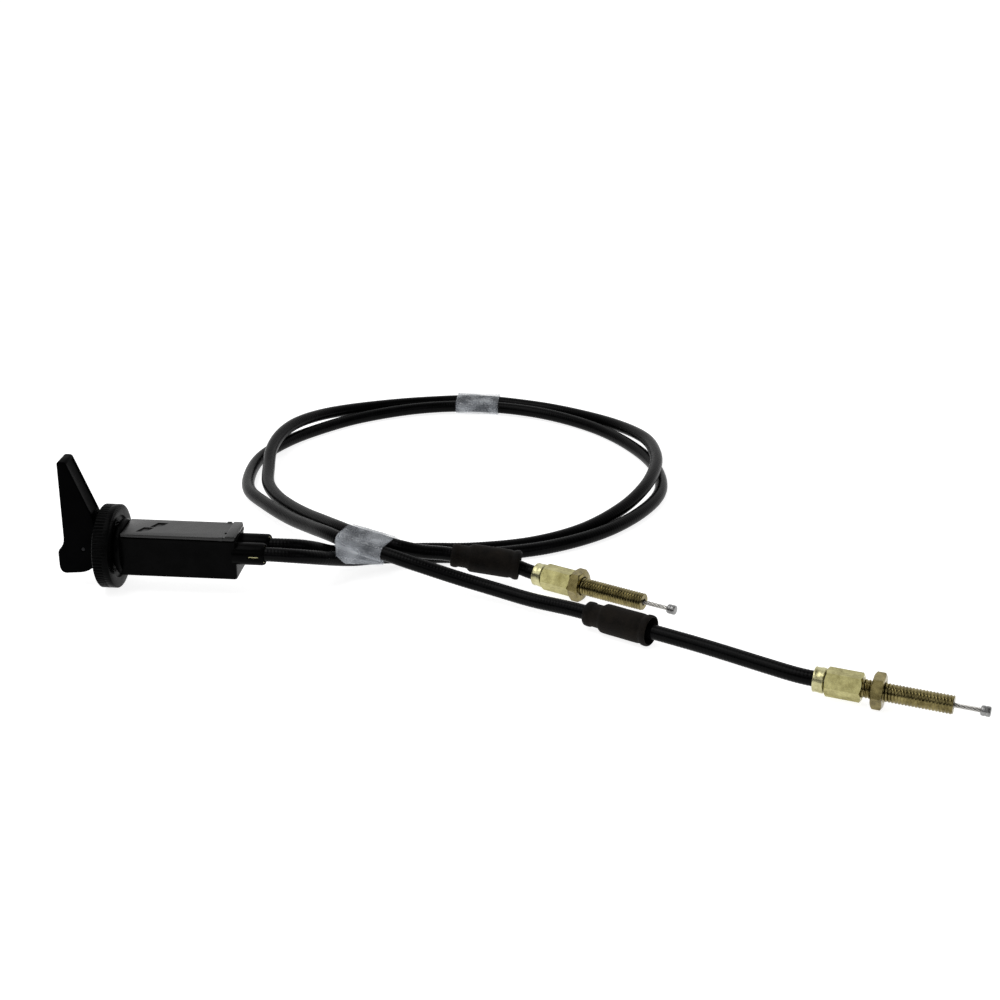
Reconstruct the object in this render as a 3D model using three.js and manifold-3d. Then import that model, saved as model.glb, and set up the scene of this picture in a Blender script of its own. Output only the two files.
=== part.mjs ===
// Dual-outlet choke control cable: a panel-mount lever control whose cam lever pulls a plunger,
// and two Bowden cables that end in screw adjusters. Millimetres, +Z up. The control lies along X,
// resting on the rim of its panel nut; the cables lie on the same floor in one taped loop.
import * as THREE from 'three';
import Module from 'manifold-3d';
import { mergeVertices } from 'three/addons/utils/BufferGeometryUtils.js';

const wasm = await Module();
wasm.setup();

// ---------------------------------------------------------------- driving dimensions
const GAP = 0.3;                  // clearance between touching or running pieces
const AXIS_Z = 14.5;              // height of the neck axis: the panel nut stands on its rim
const NUT_R = 14.5;
const NUT_RIM_TEETH = 56;
const NUT_THICK = 5.7;
const NECK_R = 8.0;               // M16 threaded neck
const BORE_R = 3.7;               // plunger bore through the neck
const NECK_FRONT = -23.4;         // neck end face that the cam bears on
const NUT_FRONT = -22.2;
const COLLAR_R = 9.75;
const COLLAR_FRONT = -15.9;       // face that the panel is clamped against
const BODY_FRONT = -15.4;
const BODY_BACK = 25.6;
const BODY_HALF_W = 6.8;
const BODY_BOTTOM = 6.6;
const BODY_TOP = 20.5;            // top edge of the tray; the cover closes it
const COVER_TOP = 22.0;
const WALL = 1.2;
const SOCKET_END = 35.4;
const SOCKET_R = 3.85;
const SOCKET_BORE_R = 3.3;
const SOCKET_FLOOR = 26.7;        // the ferrules seat here
const OUTLET_Y = 3.9;             // each cable outlet's distance from the middle plane
const OUTLET_Z = 15.3;
const LEVER_TRAVEL = THREE.MathUtils.degToRad(85);
const PLUNGER_STROKE = 4.0;
const CAM_REST = 5.0;             // pivot to neck face with the lever up
const PIVOT_X = NECK_FRONT - CAM_REST;
const LEVER_HALF_W = 4.25;
const TONGUE_HALF_W = 1.5;
const PIN_R = 1.5;
const CABLE_R = 2.5;
const WIRE_R = 0.75;
const FERRULE_R = 4.0;            // crimp ferrule at the adjuster end
const FERRULE_LEN = 3.4;
const HEX_AF = 8.0;
const HEX_LEN = 11.2;
const THREAD_R = 2.95;            // M6
const THREAD_OUT = 27;            // thread that shows beyond the hex sleeve
const THREAD_IN = 6;              // thread held inside the hex sleeve
const NUT_AF = 10;
const JAM_NUT_LEN = 3.5;
const BARREL_R = 1.6;
const BARREL_LEN = 3.0;
const BOOT_LEN = 24;

// ---------------------------------------------------------------- cable routes
// Centrelines from the outlet to the adjuster, laid on the floor in one loop of about 160 mm.
const ROUTE_1 = [
  [29.3, 3.9, 15.3], [36.2, 3.9, 15.3], [44.4, 5.4, 14.6], [49.6, 9.2, 12.3], [53.9, 14.4, 8.9],
  [59, 19.9, 6.3], [65.6, 24.3, 5], [73, 28.4, 4.1], [86, 32.3, 3.2], [103.1, 35.5, 2.7],
  [123.2, 42.8, 2.7], [140.6, 55.5, 3.3], [154.2, 72.2, 5.2], [162.6, 89.3, 7.4],
  [166.5, 108.2, 8.5], [166.2, 125, 8.5], [161.7, 144.3, 7.4], [150.4, 164.2, 5.2],
  [133.3, 179.6, 4], [112.6, 189.7, 3.8], [87, 194, 4.2], [64.2, 190.6, 4], [43.1, 181.2, 4.6],
  [25.8, 166.1, 6.4], [15.7, 148.9, 8.2], [11.1, 132.8, 8.5], [10.2, 116.4, 7.4],
  [12.5, 100.5, 5.6], [15.6, 86, 4.8], [21.8, 72.6, 5.2], [30, 59.6, 6.6], [39, 46.8, 8.8],
  [47.5, 35.6, 11.2], [54.8, 26.4, 13.1], [61.9, 19.6, 13.9], [69.7, 15.9, 13.6],
  [77.5, 12.6, 13], [86.5, 12.9, 11.1], [94, 14.37, 10.04], [101, 14.13, 9.25],
  [109, 13.86, 8.35], [116.5, 13.6, 7.5], [123.6, 12.6, 5.5], [126.8, 11.1, 5.1],
];
const ROUTE_2 = [
  [29.3, -3.9, 15.3], [36.6, -3.9, 15.3], [46, -2.5, 14.4], [52.2, 2.2, 12], [57.2, 8.6, 8.9],
  [62.4, 14.4, 6.4], [68.2, 19.2, 5.1], [75, 23, 4.1], [88, 26.6, 3.1], [104.2, 30, 2.7],
  [128.4, 39.3, 2.7], [148.5, 55.6, 2.7], [162.6, 77.3, 2.7], [169, 99.5, 2.7],
  [166, 124.9, 2.7], [155.7, 147.5, 2.7], [140.7, 166.6, 2.8], [120.9, 180.5, 3.1],
  [100.4, 187.2, 3.4], [78.9, 188, 3.4], [58, 182.8, 3.1], [37.2, 170.3, 2.8],
  [22.3, 154.6, 2.7], [11.8, 138.4, 2.7], [5.2, 119.6, 2.7], [5, 99.5, 2.9], [9.5, 80, 3.9],
  [20.5, 62, 5.8], [32.5, 45.5, 7.9], [43, 32, 10.6], [51.6, 21.2, 13], [59.5, 14.1, 13.5],
  [67.3, 10.5, 12.8], [75.1, 7, 12.2], [85, 4.1, 10.4], [100, 1.5, 7], [113, -1.7, 4.9],
  [127, -8, 4.2], [143, -16.4, 5.1], [163, -27.1, 5.1], [183, -37.7, 5.1], [203, -49.5, 5.1],
  [211.3, -54.2, 5.1], [216.9, -56.5, 5.1],
];
// Each boot sits on a straight stretch of its cable; each adjuster starts at the cable's end.
const BOOT_1 = { from: [97, 14.27, 9.7], to: [116.5, 13.6, 7.5] };
const BOOT_2 = { from: [145.8, -17.89, 5.1], to: [183, -37.7, 5.1] };
const ADJUSTER_1 = { at: [126.8, 11.1, 5.1], heading: -26.8, lockNutGap: GAP, wireOut: 8.6 };
const ADJUSTER_2 = { at: [216.9, -56.5, 5.1], heading: -17.4, lockNutGap: 3, wireOut: 7.4 };
const TAPE_TOP = { circles: [[-2.9, -0.4], [2.9, 0.4]], length: 19, at: [87, 191, 3.8],
  heading: 0, fall: 0 };
const TAPE_FRONT = { circles: [[-2.9, -0.4], [2.9, 0.4]], length: 16, at: [68.5, 13.2, 13.15],
  heading: -23.5, fall: 3.5 };

// ---------------------------------------------------------------- materials
const finish = (color, roughness, metalness = 0) =>
  new THREE.MeshStandardMaterial({ color, roughness, metalness });
const PLASTIC = finish(0x141416, 0.35);
const LEVER_PLASTIC = finish(0x111113, 0.3);
const RUBBER = finish(0x1c1a18, 0.85);
const JACKET = finish(0x101113, 0.4);
const BRIGHT_ZINC = finish(0xcdb984, 0.35, 0.9);
const YELLOW_ZINC = finish(0xb39a5c, 0.4, 0.9);
const OLIVE_ZINC = finish(0x8c7440, 0.45, 0.9);
const STEEL = finish(0xa8a6a0, 0.4, 0.9);
const TAPE = finish(0xc9cdd2, 0.25);

// ---------------------------------------------------------------- solid helpers
// The assembly is drawn with its axis on X and shifted so that the control is centred on the origin.
const CENTRE_SHIFT = 1.05;
const part = new THREE.Group();
const assembly = new THREE.Group();
assembly.position.x = CENTRE_SHIFT;
part.add(assembly);

function toSolid(geometry) {
  const bare = geometry.index ? geometry.toNonIndexed() : geometry.clone();
  for (const name of Object.keys(bare.attributes)) {
    if (name !== 'position') bare.deleteAttribute(name);
  }
  const merged = mergeVertices(bare, 1e-4);
  return new wasm.Manifold(new wasm.Mesh({
    numProp: 3,
    vertProperties: new Float32Array(merged.attributes.position.array),
    triVerts: new Uint32Array(merged.index.array),
  }));
}

function toGeometry(solid) {
  const mesh = solid.getMesh();
  const geometry = new THREE.BufferGeometry();
  geometry.setAttribute('position', new THREE.BufferAttribute(mesh.vertProperties, 3));
  geometry.setIndex(new THREE.BufferAttribute(mesh.triVerts, 1));
  geometry.computeVertexNormals();
  return geometry;
}

function build({ add, cut = [] }) {
  let solid = add.map(toSolid).reduce((a, b) => a.add(b));
  for (const tool of cut) solid = solid.subtract(toSolid(tool));
  return toGeometry(solid);
}

function piece(name, geometry, material, parent = assembly) {
  const mesh = new THREE.Mesh(geometry, material);
  mesh.name = name;
  parent.add(mesh);
  return mesh;
}

function block(x0, x1, y0, y1, z0, z1) {
  const box = new THREE.BoxGeometry(x1 - x0, y1 - y0, z1 - z0);
  return box.translate((x0 + x1) / 2, (y0 + y1) / 2, (z0 + z1) / 2);
}

// A turned piece about X: the profile lists [distance along X, radius] and closes on itself.
function turned(profile, y, z, sides = 32) {
  const points = profile.map(([along, radius]) => new THREE.Vector2(radius, along));
  points.push(points[0].clone());
  const lathe = new THREE.LatheGeometry(points, sides);
  return lathe.rotateZ(-Math.PI / 2).translate(0, y, z);
}

function rodX(x0, x1, radius, y, z, sides = 32) {
  return turned([[x0, 0], [x0, radius], [x1, radius], [x1, 0]], y, z, sides);
}

function tubeX(x0, x1, inner, outer, y, z, sides = 32) {
  return turned([[x0, outer], [x1, outer], [x1, inner], [x0, inner]], y, z, sides);
}

// A flat outline in the XZ plane, thickened about the middle plane along Y.
function plateXZ(shape, halfWidth, curveSegments = 8) {
  const options = { depth: 2 * halfWidth, bevelEnabled: false, curveSegments };
  const plate = new THREE.ExtrudeGeometry(shape, options);
  return plate.rotateX(Math.PI / 2).translate(0, halfWidth, 0);
}

// An outline in the YZ plane extruded along X.
function extrudeX(shape, x0, x1) {
  const bar = new THREE.ExtrudeGeometry(shape, { depth: x1 - x0, bevelEnabled: false });
  return bar.rotateX(Math.PI / 2).rotateZ(Math.PI / 2).translate(x0, 0, 0);
}

function polygon(sides, radius, phase = 0) {
  const shape = new THREE.Shape();
  for (let i = 0; i < sides; i += 1) {
    const angle = phase + (i * 2 * Math.PI) / sides;
    const method = i === 0 ? 'moveTo' : 'lineTo';
    shape[method](radius * Math.cos(angle), radius * Math.sin(angle));
  }
  shape.closePath();
  return shape;
}

function roundHole(radius, sides = 24) {
  const hole = new THREE.Path();
  hole.setFromPoints(polygon(sides, radius).getPoints());
  return hole;
}

// ---------------------------------------------------------------- housing
function housing() {
  const add = [
    block(BODY_FRONT, BODY_BACK, -BODY_HALF_W, BODY_HALF_W, BODY_BOTTOM, BODY_TOP),
    rodX(COLLAR_FRONT, BODY_FRONT + WALL, COLLAR_R, 0, AXIS_Z, 40),
    rodX(NECK_FRONT, BODY_FRONT + WALL, NECK_R, 0, AXIS_Z, 40),
    block(BODY_BACK - WALL, SOCKET_END - 4, -OUTLET_Y, OUTLET_Y, OUTLET_Z - 2.4, OUTLET_Z + 2.4),
  ];
  const cut = [
    block(BODY_FRONT + WALL, BODY_BACK - WALL, -BODY_HALF_W + WALL, BODY_HALF_W - WALL,
      BODY_BOTTOM + WALL, COVER_TOP),
    rodX(NECK_FRONT - 1, BODY_FRONT + WALL + 1, BORE_R, 0, AXIS_Z, 32),
  ];
  for (const side of [-1, 1]) {
    add.push(rodX(BODY_BACK - WALL, SOCKET_END, SOCKET_R, side * OUTLET_Y, OUTLET_Z, 28));
    cut.push(rodX(SOCKET_FLOOR, SOCKET_END + 1, SOCKET_BORE_R, side * OUTLET_Y, OUTLET_Z, 28));
    cut.push(rodX(BODY_BACK - 3, SOCKET_FLOOR + 1, 1.3, side * OUTLET_Y, OUTLET_Z, 16));
  }
  return build({ add, cut });
}

function housingCover() {
  const lipHalfW = BODY_HALF_W - WALL - GAP;
  const add = [
    block(BODY_FRONT, BODY_BACK, -BODY_HALF_W, BODY_HALF_W, BODY_TOP + GAP, COVER_TOP),
    block(BODY_FRONT + WALL + GAP, BODY_BACK - WALL - GAP, -lipHalfW, lipHalfW,
      BODY_TOP - 0.7, BODY_TOP + GAP + 0.1),
    block(BODY_BACK - 3.4, BODY_BACK, -BODY_HALF_W, BODY_HALF_W, COVER_TOP - 0.1, COVER_TOP + 0.5),
  ];
  const cut = [rodX(COLLAR_FRONT - 1, BODY_FRONT + WALL + GAP, COLLAR_R + GAP, 0, AXIS_Z, 40)];
  return build({ add, cut });
}

// ---------------------------------------------------------------- panel nut
function panelNut() {
  const shape = new THREE.Shape();
  const pitch = (2 * Math.PI) / NUT_RIM_TEETH;
  for (let i = 0; i < NUT_RIM_TEETH; i += 1) {
    const tip = -Math.PI / 2 + i * pitch;
    const steps = [[tip - pitch * 0.2, NUT_R], [tip + pitch * 0.2, NUT_R],
      [tip + pitch * 0.5, NUT_R - 0.5]];
    steps.forEach(([angle, radius], j) => {
      const method = i === 0 && j === 0 ? 'moveTo' : 'lineTo';
      shape[method](radius * Math.cos(angle), radius * Math.sin(angle));
    });
  }
  shape.closePath();
  shape.holes.push(roundHole(NECK_R + GAP, 40));
  return extrudeX(shape, NUT_FRONT, NUT_FRONT + NUT_THICK).translate(0, 0, AXIS_Z);
}

// ---------------------------------------------------------------- lever with its cam
// The cam is the involute whose support distance grows in step with the lever's angle, so the
// plunger moves 4 mm over the 85 degree swing at a constant rate and stands firm at both ends.
function leverOutline() {
  const rate = PLUNGER_STROKE / LEVER_TRAVEL;
  const start = CAM_REST - GAP;
  const camPoint = (angle) => {
    const support = start + rate * angle;
    return [
      support * Math.cos(angle) - rate * Math.sin(angle),
      -support * Math.sin(angle) - rate * Math.cos(angle),
    ];
  };
  const shape = new THREE.Shape();
  shape.moveTo(-6.45, 32);
  shape.lineTo(-9.1 + 2.4, 1.4);
  shape.lineTo(-9.1, -0.9);
  shape.lineTo(-9.1, -6.6);
  const flatEnd = camPoint(LEVER_TRAVEL);
  shape.quadraticCurveTo(-8.9, -9.35, -6.6, flatEnd[1] - 0.41);
  const camSteps = 8;
  for (let i = camSteps; i >= 0; i -= 1) {
    shape.lineTo(...camPoint((LEVER_TRAVEL * i) / camSteps));
  }
  shape.lineTo(start, 9.6);
  shape.lineTo(4.25, 12.1);
  shape.lineTo(-3.5, 31.9);
  shape.closePath();
  return shape;
}

function lever() {
  const slotHalfW = TONGUE_HALF_W + GAP;
  const cut = [
    block(-3.5, 12, -slotHalfW, slotHalfW, -16, 3.5),
    rodX(-LEVER_HALF_W - 1, LEVER_HALF_W + 1, PIN_R + GAP, 0, 0, 20).rotateZ(Math.PI / 2),
  ];
  return build({ add: [plateXZ(leverOutline(), LEVER_HALF_W, 5)], cut })
    .translate(PIVOT_X, 0, AXIS_Z);
}

function pivotPin() {
  const half = LEVER_HALF_W - 0.15;
  const pin = turned([[-half, 0], [-half, PIN_R - 0.3], [-half + 0.3, PIN_R],
    [half - 0.3, PIN_R], [half, PIN_R - 0.3], [half, 0]], 0, 0, 20);
  return pin.rotateZ(Math.PI / 2).translate(PIVOT_X, 0, AXIS_Z);
}

// ---------------------------------------------------------------- plunger and its wires
const ROD_FRONT = PIVOT_X + 9.4;   // clear of the cam's cheeks, which reach 8.7 from the pivot
const CARRIAGE_BOTTOM = 9.2;
const CARRIAGE_TOP = 19.4;
const CARRIAGE_FRONT = 3;
const CARRIAGE_BACK = 15;
const NIPPLE_R = 1.4;
const NIPPLE_FRONT = 6;
const NIPPLE_BACK = 10.4;

function plunger() {
  const halfW = BODY_HALF_W - WALL - GAP;
  const tongueHalfH = 3;
  const rodR = BORE_R - GAP;
  const add = [
    rodX(-TONGUE_HALF_W, TONGUE_HALF_W, tongueHalfH, 0, 0, 24)
      .rotateZ(Math.PI / 2).translate(PIVOT_X, 0, AXIS_Z),
    block(PIVOT_X, ROD_FRONT + 1, -TONGUE_HALF_W, TONGUE_HALF_W,
      AXIS_Z - tongueHalfH, AXIS_Z + tongueHalfH),
    rodX(ROD_FRONT, CARRIAGE_FRONT + 0.5, rodR, 0, AXIS_Z, 32),
    block(CARRIAGE_FRONT, CARRIAGE_BACK, -halfW, halfW, CARRIAGE_BOTTOM, CARRIAGE_TOP),
  ];
  const cut = [
    rodX(-TONGUE_HALF_W - 1, TONGUE_HALF_W + 1, PIN_R + GAP, 0, 0, 20)
      .rotateZ(Math.PI / 2).translate(PIVOT_X, 0, AXIS_Z),
  ];
  for (const side of [-1, 1]) {
    const inside = side * (OUTLET_Y - 1.8);
    const outside = side * (halfW + 1);
    const [y0, y1] = [Math.min(inside, outside), Math.max(inside, outside)];
    cut.push(block(NIPPLE_FRONT - GAP, NIPPLE_BACK + GAP, y0, y1, OUTLET_Z - 1.8, OUTLET_Z + 1.8));
    const slot = side * (OUTLET_Y - 1.1);
    const [s0, s1] = [Math.min(slot, outside), Math.max(slot, outside)];
    cut.push(block(NIPPLE_BACK, CARRIAGE_BACK + 1, s0, s1, OUTLET_Z - 1.1, OUTLET_Z + 1.1));
  }
  return build({ add, cut });
}

function controlSide(number, side) {
  const y = side * OUTLET_Y;
  const nipple = rodX(NIPPLE_FRONT, NIPPLE_BACK, NIPPLE_R, y, OUTLET_Z, 16);
  piece(`wire_nipple_${number}`, nipple, STEEL);
  const wire = rodX(NIPPLE_BACK + GAP, 29, WIRE_R, y, OUTLET_Z, 10);
  piece(`control_wire_${number}`, wire, STEEL);
  const back = SOCKET_FLOOR + GAP;
  const ferruleR = 3.1;
  const ferrule = turned([[back, 1.2], [back, ferruleR], [SOCKET_END - 0.4, ferruleR],
    [SOCKET_END - 0.4, CABLE_R + GAP], [back + 1.4, CABLE_R + GAP], [back + 1.4, 1.2]],
  y, OUTLET_Z, 24);
  piece(`conduit_ferrule_${number}`, ferrule, BRIGHT_ZINC);
}

// ---------------------------------------------------------------- cables
function alongHeading([x, y, z], heading, distance) {
  const angle = THREE.MathUtils.degToRad(heading);
  return [x + distance * Math.cos(angle), y + distance * Math.sin(angle), z];
}

function cable(route, adjuster) {
  const end = alongHeading(adjuster.at, adjuster.heading, FERRULE_LEN - 1.1);
  const points = [...route, end].map((p) => new THREE.Vector3(...p));
  const path = new THREE.CatmullRomCurve3(points, false, 'catmullrom', 0.5);
  const options = { steps: 76, bevelEnabled: false, extrudePath: path };
  return new THREE.ExtrudeGeometry(polygon(10, CABLE_R), options);
}

// ---------------------------------------------------------------- rubber boots
function boot({ from, to }) {
  const bore = CABLE_R + GAP;
  const bellBore = FERRULE_R + GAP;
  const profile = [
    [0, bore], [0, 3.9], [1.2, 4.2], [6.2, 4.2], [7, 4.9], [BOOT_LEN - 2, 4.95],
    [BOOT_LEN - 1.6, 5.05], [BOOT_LEN, 5.05], [BOOT_LEN, bellBore + 0.2],
    [9, bellBore], [7.6, bore],
  ];
  const geometry = turned(profile, 0, 0, 24);
  return placeAlong(geometry, from, to);
}

function placeAlong(geometry, from, to) {
  const start = new THREE.Vector3(...from);
  const direction = new THREE.Vector3(...to).sub(start).normalize();
  const turn = new THREE.Quaternion().setFromUnitVectors(new THREE.Vector3(1, 0, 0), direction);
  return geometry.applyQuaternion(turn).translate(start.x, start.y, start.z);
}

// ---------------------------------------------------------------- adjusters
function hexTube(acrossFlats, inner, x0, x1) {
  const shape = polygon(6, acrossFlats / Math.sqrt(3), 0);
  shape.holes.push(roundHole(inner, 24));
  return extrudeX(shape, x0, x1);
}

function adjuster(number, { at, heading, lockNutGap, wireOut }) {
  const group = new THREE.Group();
  group.position.set(...at);
  group.rotation.z = THREE.MathUtils.degToRad(heading);
  assembly.add(group);
  const wireBore = 1.2;
  const hexStart = FERRULE_LEN + GAP;
  const hexEnd = hexStart + HEX_LEN;
  const threadEnd = hexEnd + THREAD_OUT;
  const crimp = turned([[0, CABLE_R + GAP], [0, FERRULE_R], [FERRULE_LEN, FERRULE_R],
    [FERRULE_LEN, wireBore], [FERRULE_LEN - 0.8, wireBore],
    [FERRULE_LEN - 0.8, CABLE_R + GAP]], 0, 0, 24);
  piece(`crimp_ferrule_${number}`, crimp, BRIGHT_ZINC, group);
  piece(`hex_sleeve_${number}`, hexTube(HEX_AF, THREAD_R + GAP, hexStart, hexEnd),
    YELLOW_ZINC, group);
  piece(`threaded_tube_${number}`,
    tubeX(hexEnd - THREAD_IN, threadEnd, wireBore, THREAD_R, 0, 0, 24), OLIVE_ZINC, group);
  const nutStart = hexEnd + lockNutGap;
  piece(`lock_nut_${number}`, hexTube(NUT_AF, THREAD_R + GAP, nutStart, nutStart + JAM_NUT_LEN),
    OLIVE_ZINC, group);
  piece(`end_wire_${number}`,
    rodX(threadEnd - 16, threadEnd + wireOut, WIRE_R, 0, 0, 10), STEEL, group);
  const barrelStart = threadEnd + wireOut + GAP;
  piece(`end_barrel_${number}`,
    rodX(barrelStart, barrelStart + BARREL_LEN, BARREL_R, 0, 0, 20), STEEL, group);
}

// ---------------------------------------------------------------- tapes
// A band of clear tape: a ring whose outline hugs the two cables it holds, drawn across their run.
function tapeBand({ circles, length, at, heading, fall }) {
  const wrap = (offset) => {
    const points = [];
    const sides = 28;
    for (let i = 0; i < sides; i += 1) {
      const angle = (i * 2 * Math.PI) / sides;
      const normal = [Math.cos(angle), Math.sin(angle)];
      const reach = circles.map(([y, z]) => y * normal[0] + z * normal[1]);
      const [y, z] = circles[reach.indexOf(Math.max(...reach))];
      points.push(new THREE.Vector2(y + (CABLE_R + offset) * normal[0],
        z + (CABLE_R + offset) * normal[1]));
    }
    return points;
  };
  const shape = new THREE.Shape(wrap(0.95));
  shape.holes.push(new THREE.Path(wrap(0.65)));
  const band = extrudeX(shape, -length / 2, length / 2).rotateY(THREE.MathUtils.degToRad(fall));
  return band.rotateZ(THREE.MathUtils.degToRad(heading)).translate(...at);
}

// ---------------------------------------------------------------- the assembly
piece('housing', housing(), PLASTIC);
piece('housing_cover', housingCover(), PLASTIC);
piece('panel_nut', panelNut(), PLASTIC);
piece('lever', lever(), LEVER_PLASTIC);
piece('pivot_pin', pivotPin(), STEEL);
piece('plunger', plunger(), PLASTIC);
controlSide(1, 1);
controlSide(2, -1);
piece('cable_1', cable(ROUTE_1, ADJUSTER_1), JACKET);
piece('cable_2', cable(ROUTE_2, ADJUSTER_2), JACKET);
piece('rubber_boot_1', boot(BOOT_1), RUBBER);
piece('rubber_boot_2', boot(BOOT_2), RUBBER);
adjuster(1, ADJUSTER_1);
adjuster(2, ADJUSTER_2);
piece('tape_top', tapeBand(TAPE_TOP), TAPE);
piece('tape_front', tapeBand(TAPE_FRONT), TAPE);

export default part;
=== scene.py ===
"""Looks of the dual-outlet choke control cable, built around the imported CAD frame.

Lengths in this file are millimetres unless a name says otherwise; they become metres where a mesh
or an object is made. The frame is the CAD frame: +Z up, the control along X, floor at Z = 0.
"""
import math
import random

import bmesh
import bpy
from mathutils import Matrix, Vector, noise


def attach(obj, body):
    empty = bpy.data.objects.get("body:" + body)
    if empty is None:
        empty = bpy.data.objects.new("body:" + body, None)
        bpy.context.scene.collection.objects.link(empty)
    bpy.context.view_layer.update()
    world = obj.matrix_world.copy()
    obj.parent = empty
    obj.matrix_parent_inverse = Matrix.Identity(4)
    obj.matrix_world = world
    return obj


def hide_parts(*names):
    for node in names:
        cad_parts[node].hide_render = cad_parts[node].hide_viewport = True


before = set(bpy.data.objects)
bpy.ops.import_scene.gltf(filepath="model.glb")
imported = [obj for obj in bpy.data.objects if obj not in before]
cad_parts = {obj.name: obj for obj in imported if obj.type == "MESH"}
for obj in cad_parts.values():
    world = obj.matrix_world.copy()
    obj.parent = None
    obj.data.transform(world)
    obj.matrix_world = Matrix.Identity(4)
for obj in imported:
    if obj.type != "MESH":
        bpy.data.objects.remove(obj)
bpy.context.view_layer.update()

MM = 0.001
scene = bpy.context.scene

# ---------------------------------------------------------------- CAD dimensions, from part.mjs
AXIS_Z = 14.5
NUT_R = 14.5
NUT_FRONT, NUT_BACK = -22.2, -16.5
NUT_TEETH = 72
NECK_R = 8.0
NECK_FRONT = -23.4
BORE_R = 3.7
COLLAR_R = 9.75
COLLAR_FRONT = -15.9
BODY_FRONT, BODY_BACK = -15.4, 25.6
BODY_HALF_W = 6.8
BODY_BOTTOM, BODY_TOP = 6.6, 20.5
COVER_BOTTOM, COVER_TOP = 20.8, 22.0
RIM_TOP = 22.5
WALL = 1.2
SOCKET_END = 35.4
SOCKET_R = 3.85
SOCKET_BORE_R = 3.3
SOCKET_FLOOR = 26.7
OUTLET_Y, OUTLET_Z = 3.9, 15.3
PIVOT_X = -28.4
LEVER_HALF_W = 4.25
LEVER_TRAVEL = math.radians(85)
PLUNGER_STROKE = 4.0
CAM_GAP = 4.7
LEVER_FOOT = (4.25, 12.1)
LEVER_TIP = (-3.5, 31.9)
LEVER_BACK = (-9.1, -6.6)
PIN_HOLE_R = 1.8
CABLE_R = 2.5
CENTRE_SHIFT = 1.05
CABLE_END_INSET = 1.1
FERRULE_LEN = 3.4
HEX_AF, HEX_START, HEX_END = 8.0, 3.7, 14.9
THREAD_R, THREAD_START, THREAD_END = 2.95, 8.9, 41.9
NUT_AF, JAM_NUT_LEN = 10.0, 3.5
WIRE_R = 0.75
WIRE_INSIDE = 16.0
WIRE_START = THREAD_END - WIRE_INSIDE
BARREL_R, BARREL_LEN = 1.6, 3.0
GAP = 0.3

ROUTE_1 = [
    (29.3, 3.9, 15.3), (36.2, 3.9, 15.3), (44.4, 5.4, 14.6), (49.6, 9.2, 12.3),
    (53.9, 14.4, 8.9), (59, 19.9, 6.3), (65.6, 24.3, 5), (73, 28.4, 4.1), (86, 32.3, 3.2),
    (103.1, 35.5, 2.7), (123.2, 42.8, 2.7), (140.6, 55.5, 3.3), (154.2, 72.2, 5.2),
    (162.6, 89.3, 7.4), (166.5, 108.2, 8.5), (166.2, 125, 8.5), (161.7, 144.3, 7.4),
    (150.4, 164.2, 5.2), (133.3, 179.6, 4), (112.6, 189.7, 3.8), (87, 194, 4.2),
    (64.2, 190.6, 4), (43.1, 181.2, 4.6), (25.8, 166.1, 6.4), (15.7, 148.9, 8.2),
    (11.1, 132.8, 8.5), (10.2, 116.4, 7.4), (12.5, 100.5, 5.6), (15.6, 86, 4.8),
    (21.8, 72.6, 5.2), (30, 59.6, 6.6), (39, 46.8, 8.8), (47.5, 35.6, 11.2),
    (54.8, 26.4, 13.1), (61.9, 19.6, 13.9), (69.7, 15.9, 13.6), (77.5, 12.6, 13),
    (86.5, 12.9, 11.1), (94, 14.37, 10.04), (101, 14.13, 9.25), (109, 13.86, 8.35),
    (116.5, 13.6, 7.5), (123.6, 12.6, 5.5), (126.8, 11.1, 5.1),
]
ROUTE_2 = [
    (29.3, -3.9, 15.3), (36.6, -3.9, 15.3), (46, -2.5, 14.4), (52.2, 2.2, 12), (57.2, 8.6, 8.9),
    (62.4, 14.4, 6.4), (68.2, 19.2, 5.1), (75, 23, 4.1), (88, 26.6, 3.1), (104.2, 30, 2.7),
    (128.4, 39.3, 2.7), (148.5, 55.6, 2.7), (162.6, 77.3, 2.7), (169, 99.5, 2.7),
    (166, 124.9, 2.7), (155.7, 147.5, 2.7), (140.7, 166.6, 2.8), (120.9, 180.5, 3.1),
    (100.4, 187.2, 3.4), (78.9, 188, 3.4), (58, 182.8, 3.1), (37.2, 170.3, 2.8),
    (22.3, 154.6, 2.7), (11.8, 138.4, 2.7), (5.2, 119.6, 2.7), (5, 99.5, 2.9), (9.5, 80, 3.9),
    (20.5, 62, 5.8), (32.5, 45.5, 7.9), (43, 32, 10.6), (51.6, 21.2, 13), (59.5, 14.1, 13.5),
    (67.3, 10.5, 12.8), (75.1, 7, 12.2), (85, 4.1, 10.4), (100, 1.5, 7), (113, -1.7, 4.9),
    (127, -8, 4.2), (143, -16.4, 5.1), (163, -27.1, 5.1), (183, -37.7, 5.1),
    (203, -49.5, 5.1), (211.3, -54.2, 5.1), (216.9, -56.5, 5.1),
]
BOOT_PLACES = {
    1: ((97, 14.27, 9.7), (116.5, 13.6, 7.5)),
    2: ((145.8, -17.89, 5.1), (183, -37.7, 5.1)),
}
ADJUSTERS = {
    1: {"at": (126.8, 11.1, 5.1), "heading": -26.8, "nut_gap": GAP, "wire_out": 8.6},
    2: {"at": (216.9, -56.5, 5.1), "heading": -17.4, "nut_gap": 3.0, "wire_out": 7.4},
}

# ---------------------------------------------------------------- camera
camera_data = bpy.data.cameras.new("camera")
camera_data.lens = 61.2
camera_data.sensor_width = 36.0
camera = bpy.data.objects.new("camera", camera_data)
camera.location = (0.1665, -0.522, 0.253)
camera.rotation_euler = (math.radians(90 - 22.4), 0, math.radians(5.5))
camera_data.clip_start = 0.01
scene.collection.objects.link(camera)
scene.camera = camera


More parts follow.
